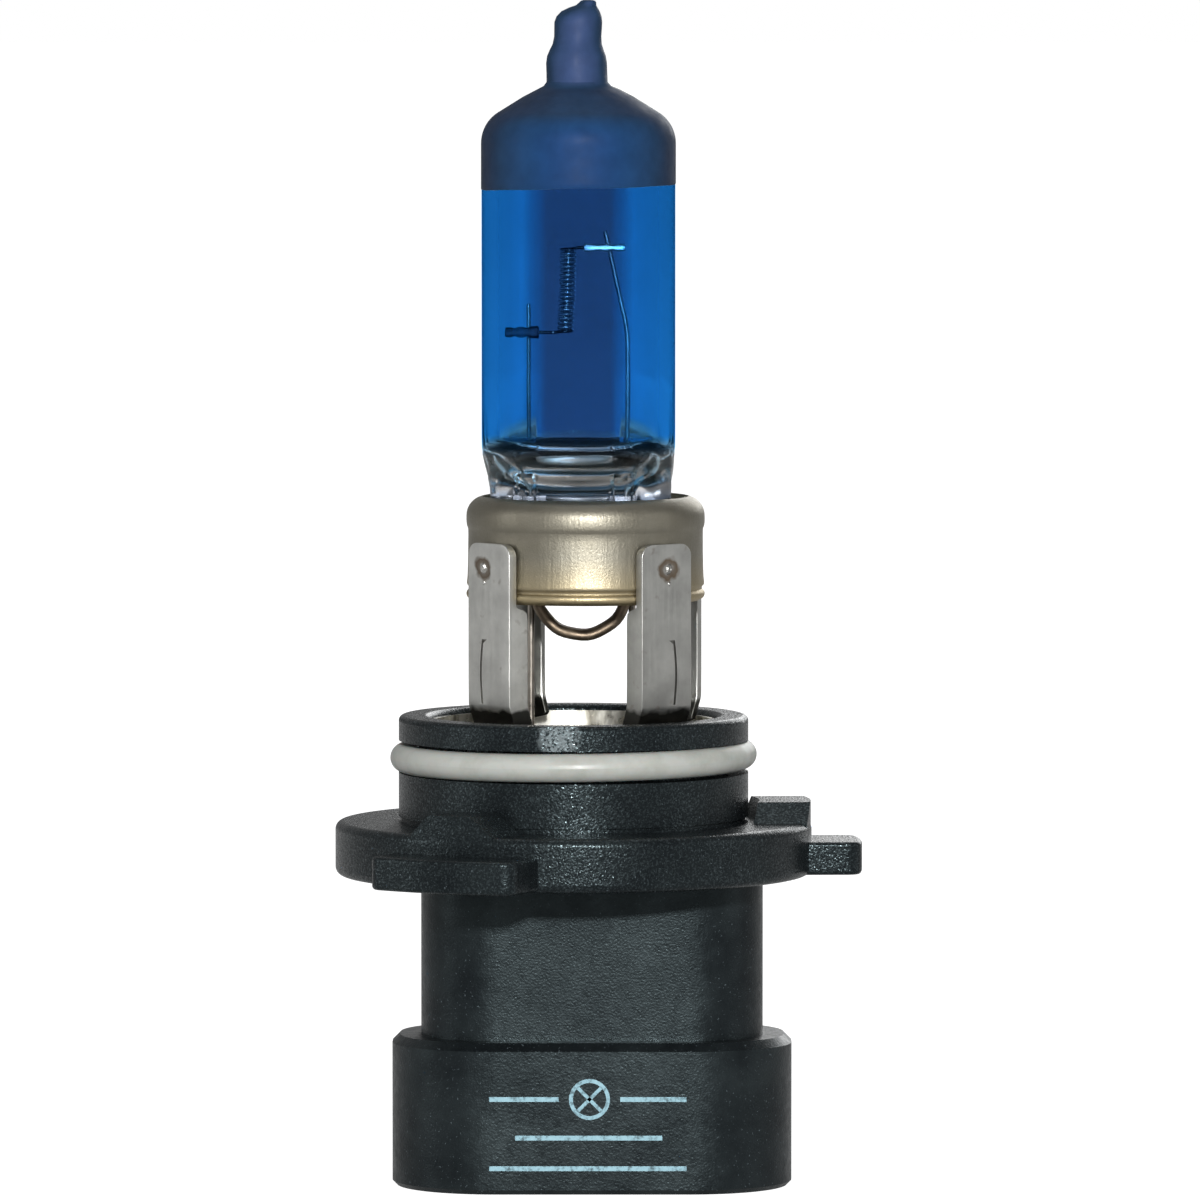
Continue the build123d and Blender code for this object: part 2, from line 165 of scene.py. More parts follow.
def bridge(bm, low, high):
    """Quads between two closed loops of vertices."""
    count = len(low)
    for i in range(count):
        j = (i + 1) % count
        bm.faces.new((low[i], low[j], high[j], high[i]))


def skin(bm, loops, inward=False):
    """Quads over a stack of loops of points, facing out or in; gives back the loops' vertices."""
    rings = [[bm.verts.new(p) for p in loop] for loop in loops]
    for low, high in zip(rings, rings[1:]):
        if inward:
            bridge(bm, high, low)
        else:
            bridge(bm, low, high)
    return rings


def fan(bm, ring, down):
    """Closes a ring with triangles to its middle, facing down or up."""
    centre = bm.verts.new(sum((v.co for v in ring), Vector()) / len(ring))
    for i in range(len(ring)):
        a, b = ring[i], ring[(i + 1) % len(ring)]
        bm.faces.new((b, a, centre) if down else (a, b, centre))


def stack(bm, loops, hollow=False):
    """Skin over a stack of loops, closed at both ends. The skin of a hollow is turned to face in."""
    before = set(bm.faces)
    rings = skin(bm, loops)
    fan(bm, rings[0], True)
    fan(bm, rings[-1], False)
    if hollow:
        bmesh.ops.reverse_faces(bm, faces=[f for f in bm.faces if f not in before])


def tube(bm, points, radius, sides):
    """Round wire along a polyline; radius is a number or one per point."""
    points = [Vector(p) for p in points]
    radii = radius if isinstance(radius, list) else [radius] * len(points)
    tangent = (points[1] - points[0]).normalized()
    across = tangent.orthogonal().normalized()
    loops = []
    for i, p in enumerate(points):
        ahead = points[min(i + 1, len(points) - 1)] - points[max(i - 1, 0)]
        ahead.normalize()
        across = (across - ahead * across.dot(ahead)).normalized()
        other = ahead.cross(across)
        ring = []
        for k in range(sides):
            a = 2 * math.pi * k / sides
            ring.append(p + radii[i] * (math.cos(a) * across + math.sin(a) * other))
        loops.append(ring)
    stack(bm, loops)


def circle(radius, z, x, y, count, wobble=None):
    """Level loop of points; wobble(angle, z) adds to the radius."""
    loop = []
    for k in range(count):
        a = 2 * math.pi * k / count
        r = radius + (wobble(a, z) if wobble else 0.0)
        loop.append((x + r * math.cos(a), y + r * math.sin(a), z))
    return loop


def arc(centre, radius, start, end, steps):
    """Points of an arc in the (radius, height) plane, angles in degrees."""
    points = []
    for i in range(steps + 1):
        a = math.radians(start + (end - start) * i / steps)
        points.append((centre[0] + radius * math.cos(a), centre[1] + radius * math.sin(a)))
    return points


def smooth_step(t):
    """Goes from 0 to 1 with t, easing in and out."""
    t = min(1.0, max(0.0, t))
    return t * t * (3 - 2 * t)


# ---------------------------------------------------------------- material tools


class Surface:
    """A Principled material put together node by node. Texture space is the row frame in metres."""

    def __init__(self, name, colour, roughness, metallic=0.0, **sockets):
        self.material = bpy.data.materials.new(name)
        self.material.use_nodes = True
        self.tree = self.material.node_tree
        self.shader = self.tree.nodes["Principled BSDF"]
        self.set("Base Color", (*colour, 1.0))
        self.set("Roughness", roughness)
        self.set("Metallic", metallic)
        for socket, value in sockets.items():
            self.set(socket.replace("_", " "), value)
        self.place = self.node("ShaderNodeTexCoord").outputs["Object"]

    def set(self, socket, value):
        """Gives a socket of the Principled shader a plain value."""
        self.shader.inputs[socket].default_value = value

    def link(self, source, socket):
        """Drives a socket of the Principled shader from a node."""
        self.tree.links.new(source, self.shader.inputs[socket])

    def show(self, shader):
        """Puts another shader than the Principled one on the surface."""
        self.tree.links.new(shader.outputs[0], self.tree.nodes["Material Output"].inputs["Surface"])

    def node(self, kind, inputs=None, **settings):
        """Adds a node; inputs are values or other nodes' outputs."""
        made = self.tree.nodes.new(kind)
        for key, value in settings.items():
            setattr(made, key, value)
        for key, value in (inputs or {}).items():
            if isinstance(value, bpy.types.NodeSocket):
                self.tree.links.new(value, made.inputs[key])
            else:
                made.inputs[key].default_value = value
        return made

    def stretched(self, x, y, z):
        """Texture place scaled along each axis."""
        return self.node("ShaderNodeMapping", {"Vector": self.place, "Scale": (x, y, z)}).outputs[0]

    def noise(self, size_mm, detail=3.0, rough=0.5, place=None):
        """Noise whose features are about size_mm across."""
        inputs = {"Vector": place or self.place, "Scale": 1.0 / (size_mm * MM), "Detail": detail,
                  "Roughness": rough}
        return self.node("ShaderNodeTexNoise", inputs).outputs["Fac"]

    def ramp(self, source, *stops):
        """Colour ramp; each stop is (position, colour or grey)."""
        made = self.node("ShaderNodeValToRGB", {"Fac": source})
        bar = made.color_ramp.elements
        while len(bar) < len(stops):
            bar.new(0.5)
        for element, (position, value) in zip(bar, stops):
            element.position = position
            element.color = (value,) * 3 + (1,) if isinstance(value, (int, float)) else (*value, 1)
        return made.outputs["Color"]

    def math(self, operation, a, b, c=0.0):
        return self.node("ShaderNodeMath", {0: a, 1: b, 2: c}, operation=operation).outputs[0]

    def mix(self, factor, a, b, blend="MIX"):
        """Colour a where factor is 0, and b, or a blended with b, where it is 1."""
        made = self.node("ShaderNodeMix", data_type="RGBA", blend_type=blend)
        for socket, value in ((0, factor), (6, a), (7, b)):
            if isinstance(value, bpy.types.NodeSocket):
                self.tree.links.new(value, made.inputs[socket])
            elif socket == 0:
                made.inputs[0].default_value = value
            else:
                made.inputs[socket].default_value = (*value, 1)
        return made.outputs[2]

    def bump(self, height, distance_mm, strength=1.0):
        """Bumps as tall as distance where height is 1."""
        inputs = {"Height": height, "Distance": distance_mm * MM, "Strength": strength}
        self.link(self.node("ShaderNodeBump", inputs).outputs[0], "Normal")

    def span(self, value, start, end, low=0.0, high=1.0):
        """low where the value is at start, high where it is at end, and held beyond them."""
        inputs = {"Value": value, "From Min": start, "From Max": end, "To Min": low, "To Max": high}
        return self.node("ShaderNodeMapRange", inputs).outputs[0]

    def near(self, centre_mm, reach_mm):
        """1 at a place in the row frame, falling to 0 at reach."""
        centre = [c * MM for c in centre_mm]
        offset = self.node("ShaderNodeVectorMath", {0: self.place, 1: centre}, operation="DISTANCE")
        return self.span(offset.outputs["Value"], reach_mm * MM, 0.0)

    def height(self, low_mm, high_mm):
        """0 below low, 1 above high."""
        z = self.node("ShaderNodeSeparateXYZ", {0: self.place}).outputs["Z"]
        return self.span(z, low_mm * MM, high_mm * MM)


# ---------------------------------------------------------------- materials


def housing_plastic():
    """Black nylon: a coarse, glinting grain on the cap, a finer one on the plug, a scarred gate mark, and
    painted glints as light specks all over.
    """
    s = Surface("housing_plastic", (0.009, 0.011, 0.012), 0.34, Specular_IOR_Level=0.3,
                Specular_Tint=(0.74, 0.95, 1.0, 1.0))
    cloud = s.noise(3.0, 4.0, 0.6)
    base = s.ramp(cloud, (0.3, (0.004, 0.005, 0.006)), (0.7, (0.009, 0.0115, 0.0125)))
    # Painted glints: small light specks in the colour.
    glint_specks = s.ramp(s.noise(0.16, 2.0, 0.7), (0.66, 0.0), (0.74, 1.0))
    base = s.mix(glint_specks, base, (0.08, 0.10, 0.11))
    rough_patch = s.ramp(s.noise(0.22, 3.0, 0.7), (0.42, 0.0), (0.55, 1.0))
    scar = s.math("MULTIPLY", s.near(GATE_MARK, 1.5), rough_patch)
    scar = s.math("MINIMUM", s.math("MULTIPLY", scar, 2.0), 0.8)
    s.link(s.mix(scar, base, (0.20, 0.23, 0.24)), "Base Color")
    cap = s.height(FLANGE_BOTTOM - 0.5, FLANGE_BOTTOM)
    satin = s.ramp(s.noise(0.5, 3.0), (0.3, 0.27), (0.7, 0.42))
    glints = s.ramp(s.noise(0.2, 2.0, 0.7), (0.38, 0.17), (0.6, 0.34))
    s.link(s.mix(cap, satin, glints), "Roughness")
    sparkle = s.ramp(s.noise(0.13, 1.0, 0.5), (0.52, 0.2), (0.62, 0.65))
    plain = s.ramp(cloud, (0.3, 0.24), (0.7, 0.38))
    s.link(s.mix(cap, plain, sparkle), "Specular IOR Level")
    grain = s.math("MULTIPLY", s.noise(0.14, 1.0, 0.5), s.ramp(cap, (0.0, 0.6), (1.0, 1.0)))
    s.bump(grain, 0.031)
    return s.material


def silicone():
    """Light grey silicone, a little dirty."""
    s = Surface("seal_silicone", (0.40, 0.41, 0.38), 0.42, Subsurface_Weight=0.15, Subsurface_Scale=0.0006)
    dirt = s.ramp(s.noise(2.2, 5.0, 0.65), (0.3, (0.33, 0.34, 0.306)), (0.55, (0.41, 0.423, 0.395)))
    s.link(dirt, "Base Color")
    s.link(s.ramp(s.noise(0.8, 3.0), (0.3, 0.34), (0.7, 0.5)), "Roughness")
    s.bump(s.noise(0.25, 3.0), 0.01, 0.5)
    return s.material


def satin_nickel():
    """Drawn, nickel-plated sleeve with a faint warm tarnish, golden at its foot."""
    s = Surface("ferrule_nickel", (0.27, 0.25, 0.20), 0.44, 1.0)
    tarnish = s.noise(3.5, 5.0, 0.6)
    body = s.ramp(tarnish, (0.3, (0.232, 0.215, 0.169)), (0.65, (0.294, 0.277, 0.225)))
    gold = s.ramp(s.height(*GOLD_FOOT), (0.0, 1.0), (0.45, 0.5), (1.0, 0.0))
    s.link(s.mix(gold, body, (0.43, 0.35, 0.205)), "Base Color")
    grain = s.noise(0.12, 3.0, 0.7)
    s.link(s.ramp(grain, (0.3, 0.35), (0.7, 0.53)), "Roughness")
    s.bump(s.math("ADD", grain, s.noise(0.6, 2.0, 0.5, s.stretched(2.5, 2.5, 0.3))), 0.03, 0.5)
    return s.material


def leg_steel(number, tone, weld):
    """Rolled strip with a burnt ring round its spot weld, and painted shade that darkens its foot, with a
    ragged edge.
    """
    # The leg's tone is painted light and shade, one per leg.
    colour = (tone, tone, tone * 0.95)
    s = Surface(f"leg_steel_{number}", colour, LEG_ROUGHNESS, 1.0)
    dark, light = [[c * k for c in colour] for k in (0.82, 1.12)]
    steel = s.ramp(s.noise(2.0, 4.0, 0.6), (0.3, dark), (0.7, light))
    ragged = s.math("MULTIPLY_ADD", s.noise(0.8, 2.0, 0.5), 0.8, -0.4)
    ring = s.math("ADD", s.near(weld, 1.0), ragged)
    burnt = s.ramp(ring, (0.12, 0.0), (0.36, 0.9), (0.62, 0.75), (0.78, 0.15))
    steel = s.mix(burnt, steel, (0.13, 0.09, 0.055))
    # Painted shade: the foot is darkened almost to black, with a ragged upper edge.
    ragged = s.math("MULTIPLY_ADD", s.noise(1.2, 2.0, 0.5), 0.9, -0.45)
    free_of_foot_shade = s.ramp(s.math("ADD", s.height(*SHADED_FOOT), ragged), (0.35, 0.0), (0.6, 1.0))
    s.link(s.mix(free_of_foot_shade, (0.05, 0.05, 0.045), steel), "Base Color")
    grain = s.noise(0.5, 3.0, 0.6, s.stretched(3.0, 3.0, 0.12))
    s.link(s.ramp(grain, (0.3, LEG_ROUGHNESS * 0.8), (0.7, LEG_ROUGHNESS * 1.3)), "Roughness")
    s.bump(grain, 0.004, 0.5)
    return s.material


def plain_metal(name, colour, roughness):
    """Metal with a mottled tone and gloss."""
    s = Surface(name, colour, roughness, 1.0)
    dark, light = [[c * k for c in colour] for k in (0.75, 1.15)]
    s.link(s.ramp(s.noise(1.0, 4.0), (0.3, dark), (0.7, light)), "Base Color")
    s.link(s.ramp(s.noise(0.6, 3.0), (0.3, roughness * 0.75), (0.7, roughness * 1.3)), "Roughness")
    return s.material


def drawn_cup():
    """Bright drawn steel with drawing streaks up its wall, in bumps and as painted reflections: dark and
    bright streaks in its colour.
    """
    s = Surface("cup_steel", (0.78, 0.76, 0.68), 0.3, 1.0)
    streaks_and_reflections = s.noise(1.3, 3.0, 0.6, s.stretched(1.0, 1.0, 0.25))
    # Painted reflections: the streaks run from dark to bright in the colour, standing in for glints and dark
    # bands on the wall.
    tone = s.ramp(streaks_and_reflections, (0.32, (0.26, 0.24, 0.20)), (0.42, (0.55, 0.53, 0.46)), (0.52, (0.95, 0.93, 0.85)))
    s.link(tone, "Base Color")
    s.link(s.ramp(s.noise(0.8, 3.0), (0.3, 0.22), (0.7, 0.42)), "Roughness")
    s.bump(streaks_and_reflections, 0.02, 0.6)
    return s.material


def tungsten():
    """Drawn tungsten wire, bright in the coil, with painted shade that darkens its two level tails."""
    s = Surface("tungsten", (0.7, 0.7, 0.7), 0.22, 1.0)
    bright, shaded = (0.7, 0.7, 0.7), (0.06, 0.055, 0.06)
    up_the_coil = s.height(COIL_FOOT[2] - 0.2, COIL_HEAD[2] + 0.15)
    # Painted shade: the tails below and above the coil are darkened almost to black.
    s.link(s.ramp(up_the_coil, (0.05, shaded), (0.08, bright), (0.945, bright), (0.965, shaded)), "Base Color")
    s.link(s.ramp(s.noise(0.3, 3.0), (0.3, 0.19), (0.7, 0.25)), "Roughness")
    return s.material


def print_ink():
    """Pale blue-grey pad-print ink, worn thin in places."""
    pale = (0.27, 0.45, 0.52)
    s = Surface("print_ink", pale, 0.6, Specular_IOR_Level=0.2)
    worn = s.noise(0.35, 4.0, 0.7)
    s.link(s.ramp(worn, (0.32, (0.08, 0.13, 0.15)), (0.5, pale), (0.8, (0.33, 0.52, 0.59))), "Base Color")
    s.bump(worn, 0.01, 0.4)
    return s.material


def potting_resin():
    """Dark cast resin with a gently wavy top."""
    s = Surface("potting_resin", (0.04, 0.035, 0.03), 0.25)
    s.link(s.ramp(s.noise(2.0, 4.0), (0.3, (0.03, 0.028, 0.025)), (0.7, (0.06, 0.052, 0.045))), "Base Color")
    s.bump(s.noise(1.5, 2.0), 0.08, 0.6)
    return s.material


def quartz():
    """Quartz, clear above and smoky in the pinch, with painted shade as a navy tint there, slightly wavy from
    being worked hot.
    It lets the lamps' light through to the coil."""
    s = Surface("quartz_glass", (0.96, 0.97, 0.97), 0.0, Transmission_Weight=1.0, IOR=1.46)
    tint = s.ramp(s.noise(4.0, 2.0), (0.3, (0.93, 0.94, 0.93)), (0.7, (0.98, 0.985, 0.98)))
    smoke_and_shade = s.ramp(s.noise(1.2, 3.0), (0.3, (0.16, 0.14, 0.115)), (0.7, (0.30, 0.285, 0.26)))
    # Painted shade: a navy tint darkens the pinch and fades out above it.
    deep = s.ramp(s.height(*PINCH_SHADE), (0.0, (0.30, 0.42, 0.66)), (1.0, 1.0))
    smoke_and_shade = s.mix(1.0, smoke_and_shade, deep, "MULTIPLY")
    clear = s.height(*SMOKE_END)
    s.link(s.mix(clear, smoke_and_shade, tint), "Base Color")
    s.link(s.ramp(clear, (0.0, 0.17), (1.0, 0.0)), "Roughness")
    s.bump(s.noise(2.5, 1.0, 0.4), 0.015, 0.6)
    from_lamp = s.node("ShaderNodeLightPath").outputs["Is Shadow Ray"]
    passing = s.node("ShaderNodeBsdfTransparent", {"Color": (0.93, 0.94, 0.94, 1.0)}).outputs[0]
    s.show(s.node("ShaderNodeMixShader", {0: from_lamp, 1: s.shader.outputs[0], 2: passing}))
    return s.material


def filter_film():
    """Interference filter: passes azure, and a deeper navy where it is seen square on. It has a soft end.
    Most of the lamps' direct light passes, so the clamps and the coil glint as they do under a flash."""
    s = Surface("blue_filter", (0.3, 0.5, 0.8), 0.03)
    facing = s.node("ShaderNodeLayerWeight", {"Blend": 0.5}).outputs["Facing"]
    tint = s.ramp(facing, (0.055, (0.335, 0.485, 0.67)), (0.085, (0.315, 0.53, 0.745)),
                  (0.135, (0.30, 0.565, 0.79)), (0.175, (0.30, 0.605, 0.84)), (0.7, (0.31, 0.63, 0.85)))
    cloud = s.ramp(s.noise(5.0, 3.0), (0.3, 0.97), (0.7, 1.0))
    # Painted shade: the film's tint grows a little darker up the tube.
    deeper = s.ramp(s.height(23.0, 38.0), (0.0, 1.0), (1.0, 0.955))
    tint = s.mix(1.0, s.mix(1.0, tint, cloud, "MULTIPLY"), deeper, "MULTIPLY")
    tint = s.mix(s.height(*FILM_FADE), (1.0, 1.0, 1.0), tint)
    from_lamp = s.node("ShaderNodeLightPath").outputs["Is Shadow Ray"]
    tint = s.mix(from_lamp, tint, (0.72, 0.92, 1.0))
    s.show(s.node("ShaderNodeBsdfTransparent", {"Color": tint}))
    return s.material


def blackout_paint():
    """Satin, opaque paint with a painted sheen: blue seen square on, slate at a slant, and a painted
    highlight that makes it a little lighter on the stem.
    """
    s = Surface("blackout_paint", (0.010, 0.042, 0.15), 0.5, Specular_IOR_Level=0.08)
    # Painted sheen: the colour is bluer where the paint is seen square on and slate at a slant.
    facing = s.node("ShaderNodeLayerWeight", {"Blend": 0.5}).outputs["Facing"]
    painted_sheen = s.ramp(facing, (0.02, (0.009, 0.042, 0.135)), (0.14, (0.011, 0.045, 0.125)),
                   (0.4, (0.013, 0.037, 0.085)), (0.6, (0.015, 0.029, 0.062)))
    # Painted highlight: the stem is a little lighter.
    stem_highlight = s.ramp(facing, (0.0, (0.036, 0.062, 0.150)), (0.5, (0.014, 0.036, 0.078)))
    painted_sheen = s.mix(s.height(*STEM_HIGHLIGHT), painted_sheen, stem_highlight)
    cloud = s.ramp(s.noise(1.2, 4.0), (0.3, 0.85), (0.7, 1.1))
    s.link(s.mix(1.0, painted_sheen, cloud, "MULTIPLY"), "Base Color")
    s.link(s.ramp(s.noise(0.7, 3.0), (0.3, 0.42), (0.7, 0.56)), "Roughness")
    s.bump(s.noise(0.35, 3.0), 0.012, 0.5)
    return s.material


# ---------------------------------------------------------------- glass capsule


def pinch_quarter(count):
    """A quarter of the pinch's H outline, from the middle of the right rib's side to the web's middle."""
    half, rib = PINCH_WIDTH / 2, RIB_WIDTH
    corners = [(half, 0), (half, RIB_DEPTH / 2), (half - rib, RIB_DEPTH / 2),
               (half - rib - 0.5, PINCH_WEB / 2), (0, PINCH_WEB / 2)]
    for _ in range(3):
        soft = [corners[0]]
        for a, b in zip(corners, corners[1:]):
            soft.append((a[0] * 0.75 + b[0] * 0.25, a[1] * 0.75 + b[1] * 0.25))
            soft.append((a[0] * 0.25 + b[0] * 0.75, a[1] * 0.25 + b[1] * 0.75))
        soft.append(corners[-1])
        corners = soft
    lengths = [0.0]
    for a, b in zip(corners, corners[1:]):
        lengths.append(lengths[-1] + math.dist(a, b))
    points = []
    for i in range(count):
        want = lengths[-1] * i / count
        k = max(j for j in range(len(lengths) - 1) if lengths[j] <= want)
        t = (want - lengths[k]) / (lengths[k + 1] - lengths[k])
        points.append((corners[k][0] + t * (corners[k + 1][0] - corners[k][0]),
                       corners[k][1] + t * (corners[k + 1][1] - corners[k][1])))
    return points


def pinch_outline(count):
    """The whole H outline, counter-clockwise from the right."""
    quarter = pinch_quarter(count // 4)
    end = (0.0, PINCH_WEB / 2)
    upper = quarter + [end] + [(-x, y) for x, y in reversed(quarter[1:])]
    return upper + [(-x, -y) for x, y in upper]


def window(distance, reach, soft):
    """1 within reach, easing to 0 over soft."""
    return 1 - smooth_step((abs(distance) - reach) / soft)


def waist_loop(z, radius):
    """Loop between the pinch at its top and the round tube at its bottom, uneven where it was worked hot."""
    pinched = 1 - smooth_step((z - PINCH_TOP) / (TUBE_BOTTOM - PINCH_TOP))
    worked = window(z - 20.2, 1.2, 0.9)
    loop = []
    for k, (px, py) in enumerate(pinch_outline(GLASS_SIDES)):
        a = 2 * math.pi * k / GLASS_SIDES
        x = (1 - pinched) * (GLASS_X + radius * math.cos(a)) + pinched * (PINCH_X + px)
        y = (1 - pinched) * radius * math.sin(a) + pinched * py
        side = smooth_step((abs(px) - 3.0) / 1.5)
        crumple = noise.noise(Vector((x * 0.6, y * 0.6, z * 0.7))) * (0.05 + 0.2 * side) * worked
        boss = sum(window(x - at, 0.5, 0.2) for at in LEAD_BOSSES) * window(z - 19.4, 0.9, 0.25)
        push = math.copysign(0.45 * boss * (1 - side), y)
        loop.append((x - math.copysign(abs(crumple), x), y + push + crumple, z))
    return loop


def dome_profile(grow):
    """(radius, height) up the shoulder and cone to the foot of the exhaust stem."""
    shoulder = arc((3.8, 40.95), 2.2 + grow, 0, 58.7, 10)
    return shoulder + [(3.4 + grow * 0.5, 43.78 + grow), (2.5 + grow * 0.5, 44.25 + grow)]


def stem_profile(grow):
    """(radius, height, x of the middle) of the sealed exhaust stem, slumped a little to one side."""
    rows = [(2.05, 44.5, 0.25), (1.86, 44.75, 0.22), (1.83, 45.3, 0.2), (1.83, 45.9, 0.2),
            (1.78, 46.3, 0.2), (1.6, 46.7, 0.21), (1.44, 47.05, 0.24), (1.38, 47.5, 0.26),
            (1.4, 48.0, 0.27), (1.42, 48.4, 0.3), (1.34, 48.75, 0.36), (1.12, 49.08, 0.46),
            (0.82, 49.3, 0.62), (0.56, 49.45, 0.8), (0.47, 49.6, 0.9), (0.38, 49.72, 0.93),
            (0.2, 49.78, 0.93)]
    return [(r + grow, z + (grow if z > 46 else 0), x) for r, z, x in rows]


def lump(a, z):
    """Small unevenness of the hand-sealed stem."""
    return 0.09 * noise.noise(Vector((1.3 * math.cos(a), 1.3 * math.sin(a), 0.9 * z)))


def edge_loop(grow, lift, count):
    """Loop round the tube along the paint's lower edge, raised by lift."""
    radius = GLASS_R + grow
    loop = []
    for k in range(count):
        a = 2 * math.pi * k / count
        wave = 0.03 * math.sin(3 * a + 0.5) + 0.02 * math.sin(7 * a)
        z = EDGE_Z + math.tan(EDGE_TILT) * radius * math.cos(a) + wave
        loop.append((GLASS_X + radius * math.cos(a), radius * math.sin(a), z + lift))
    return loop


def tube_loop(radius, z, count):
    """Circle round the glass tube's axis."""
    return circle(radius, z, GLASS_X, 0, count)


def top_loops(grow, count):
    """Loops over the dome and up the stem."""
    dome = [tube_loop(r, z, count) for r, z in dome_profile(grow)]
    return dome + [circle(r, z, x, 0.02 * (z - 44), count, lump) for r, z, x in stem_profile(grow)]


def gas_space():
    """Loops of the hollow: an oval, uneven floor, straight walls and a domed roof."""
    inner = GLASS_R - WALL
    rows = [(0.8, 22.05, 0.62), (2.0, 21.98, 0.62), (3.2, 21.86, 0.64), (4.1, 21.78, 0.68),
            (4.6, 21.85, 0.74), (4.85, 22.05, 0.82), (4.95, 22.4, 0.92), (inner, 22.9, 1.0)]
    rows += [(inner, z, 1.0) for z in (27.0, 30.0, 33.0, 36.0, 39.0)]
    roof = arc((3.6, 40.7), inner - 3.6, 0, 58.7, 6) + [(2.4, 42.75), (1.4, 43.3), (0.6, 43.6)]
    rows += [(r, z, 1.0) for r, z in roof]
    return [[(x, squash * y, z) for x, y, z in tube_loop(r, z, GLASS_SIDES)] for r, z, squash in rows]


def glass_capsule(material):
    """Outer skin from the pinch to the tip, and the skin of the gas space inside."""
    bm = bmesh.new()
    steps = 24
    levels = [PINCH_BOTTOM, PINCH_BOTTOM + 0.15, 15.0, 16.5, 17.5, 18.1, 18.4]
    levels += [PINCH_TOP + (TUBE_BOTTOM - PINCH_TOP) * i / steps for i in range(steps + 1)]
    loops = [waist_loop(z, GLASS_R) for z in levels]
    loops += [tube_loop(GLASS_R, z, GLASS_SIDES) for z in (23.5, 26.0, 29.0, 32.0, 35.0, 38.0, 40.0)]
    stack(bm, loops + top_loops(0.0, GLASS_SIDES))
    stack(bm, gas_space(), hollow=True)
    return new_piece("quartz_capsule", bm, material, "glass_envelope")


def painted_cap(material):
    """Paint layer over the dome and stem, with a rounded lower lip."""
    bm = bmesh.new()
    lip = [(0.02, 0.0), (0.045, 0.01), (PAINT, 0.05), (PAINT, 0.3)]
    outer = [edge_loop(grow, lift, PAINT_SIDES) for grow, lift in lip]
    outer += [tube_loop(GLASS_R + PAINT, z, PAINT_SIDES) for z in (39.2, 40.0)]
    inner = [edge_loop(SKIN_GAP, 0.0, PAINT_SIDES)]
    inner += [tube_loop(GLASS_R + SKIN_GAP, z, PAINT_SIDES) for z in (39.2, 40.0)]
    inside = skin(bm, inner + top_loops(SKIN_GAP, PAINT_SIDES), inward=True)
    outside = skin(bm, outer + top_loops(PAINT, PAINT_SIDES))
    bridge(bm, inside[0], outside[0])
    fan(bm, outside[-1], False)
    fan(bm, inside[-1], True)
    return new_piece("painted_cap", bm, material, "blackout_coating")


def filter_sleeve(material):
    """Thin film on the outside of the tube, from the waist to the painted cap."""
    bm = bmesh.new()
    walls = []
    for grow in (FILM_INSIDE, FILM_OUTSIDE):
        loops = [waist_loop(z, GLASS_R + grow) for z in (21.0, 21.2, 21.4, 21.6, 21.8)]
        loops += [tube_loop(GLASS_R + grow, z, GLASS_SIDES) for z in (22.0, 22.2, 24.0, 28.0, 32.0, 36.0)]
        loops.append(edge_loop(grow, -0.005, GLASS_SIDES))
        walls.append(skin(bm, loops, inward=grow == FILM_INSIDE))
    inner, outer = walls
    bridge(bm, inner[0], outer[0])
    bridge(bm, outer[-1], inner[-1])
    return new_piece("filter_sleeve", bm, material, "blue_filter_coating")


# ---------------------------------------------------------------- filament and wires


def filament_coil(material):
    """Single coil with a tail at each end, sagging a little between its tails."""
    bm = bmesh.new()
    foot, head = Vector(COIL_FOOT), Vector(COIL_HEAD)
    axis = (head - foot).normalized()
    side = (Vector((1, 0, 0)) - axis * axis.x).normalized()
    depth = axis.cross(side)
    points = [Vector((-3.1, 0, 29.2)), Vector((-2.2, 0, 29.2)), Vector((-1.5, 0, 29.19)),
              Vector((-1.15, -0.02, 29.19))]
    total = int(COIL_TURNS * 20)
    for i in range(total + 1):
        t = i / total
        a = math.pi + 2 * math.pi * COIL_TURNS * t
        centre = foot.lerp(head, t) + Vector((COIL_SAG * math.sin(math.pi * t), 0, 0))
        points.append(centre + COIL_R * (math.cos(a) * side + math.sin(a) * depth))
    points += [Vector((0.3, 0.02, 34.46)), Vector((0.65, 0, 34.45)), Vector((1.6, 0, 34.45)),
               Vector((2.5, 0, 34.45))]
    tube(bm, points, COIL_WIRE, 12)
    return new_piece("filament_coil", bm, material, "filament")


def crimped_tube(name, node, start, end, radius, z, material):
    """Tube pressed flat on its faces, a little tipped back, and nipped in two places along its length."""
    bm = bmesh.new()
    steps, sides = 28, 32
    tip = math.radians(-8.5)
    loops = []
    for i in range(steps + 1):
        t = i / steps
        x = start + (end - start) * t
        pressed = math.exp(-((t - 0.35) / 0.09) ** 2) + math.exp(-((t - 0.7) / 0.08) ** 2)
        tall = radius * (1.15 - 0.25 * t - 0.25 * pressed)
        deep = radius * (0.8 + 0.04 * pressed)
        if i in (0, steps):
            tall, deep = tall * 0.86, deep * 0.86
        loop = []
        for k in range(sides):
            a = 2 * math.pi * k / sides
            c, h = math.cos(a), math.sin(a)
            y = deep * math.copysign(math.sqrt(abs(c)), c)
            up = tall * math.copysign(abs(h) ** 0.7, h)
            tipped_y = y * math.cos(tip) - up * math.sin(tip)
            loop.append((x, tipped_y, z + y * math.sin(tip) + up * math.cos(tip)))
        loops.append(loop)
    stack(bm, loops)
    bmesh.ops.recalc_face_normals(bm, faces=bm.faces)
    return new_piece(name, bm, material, node)


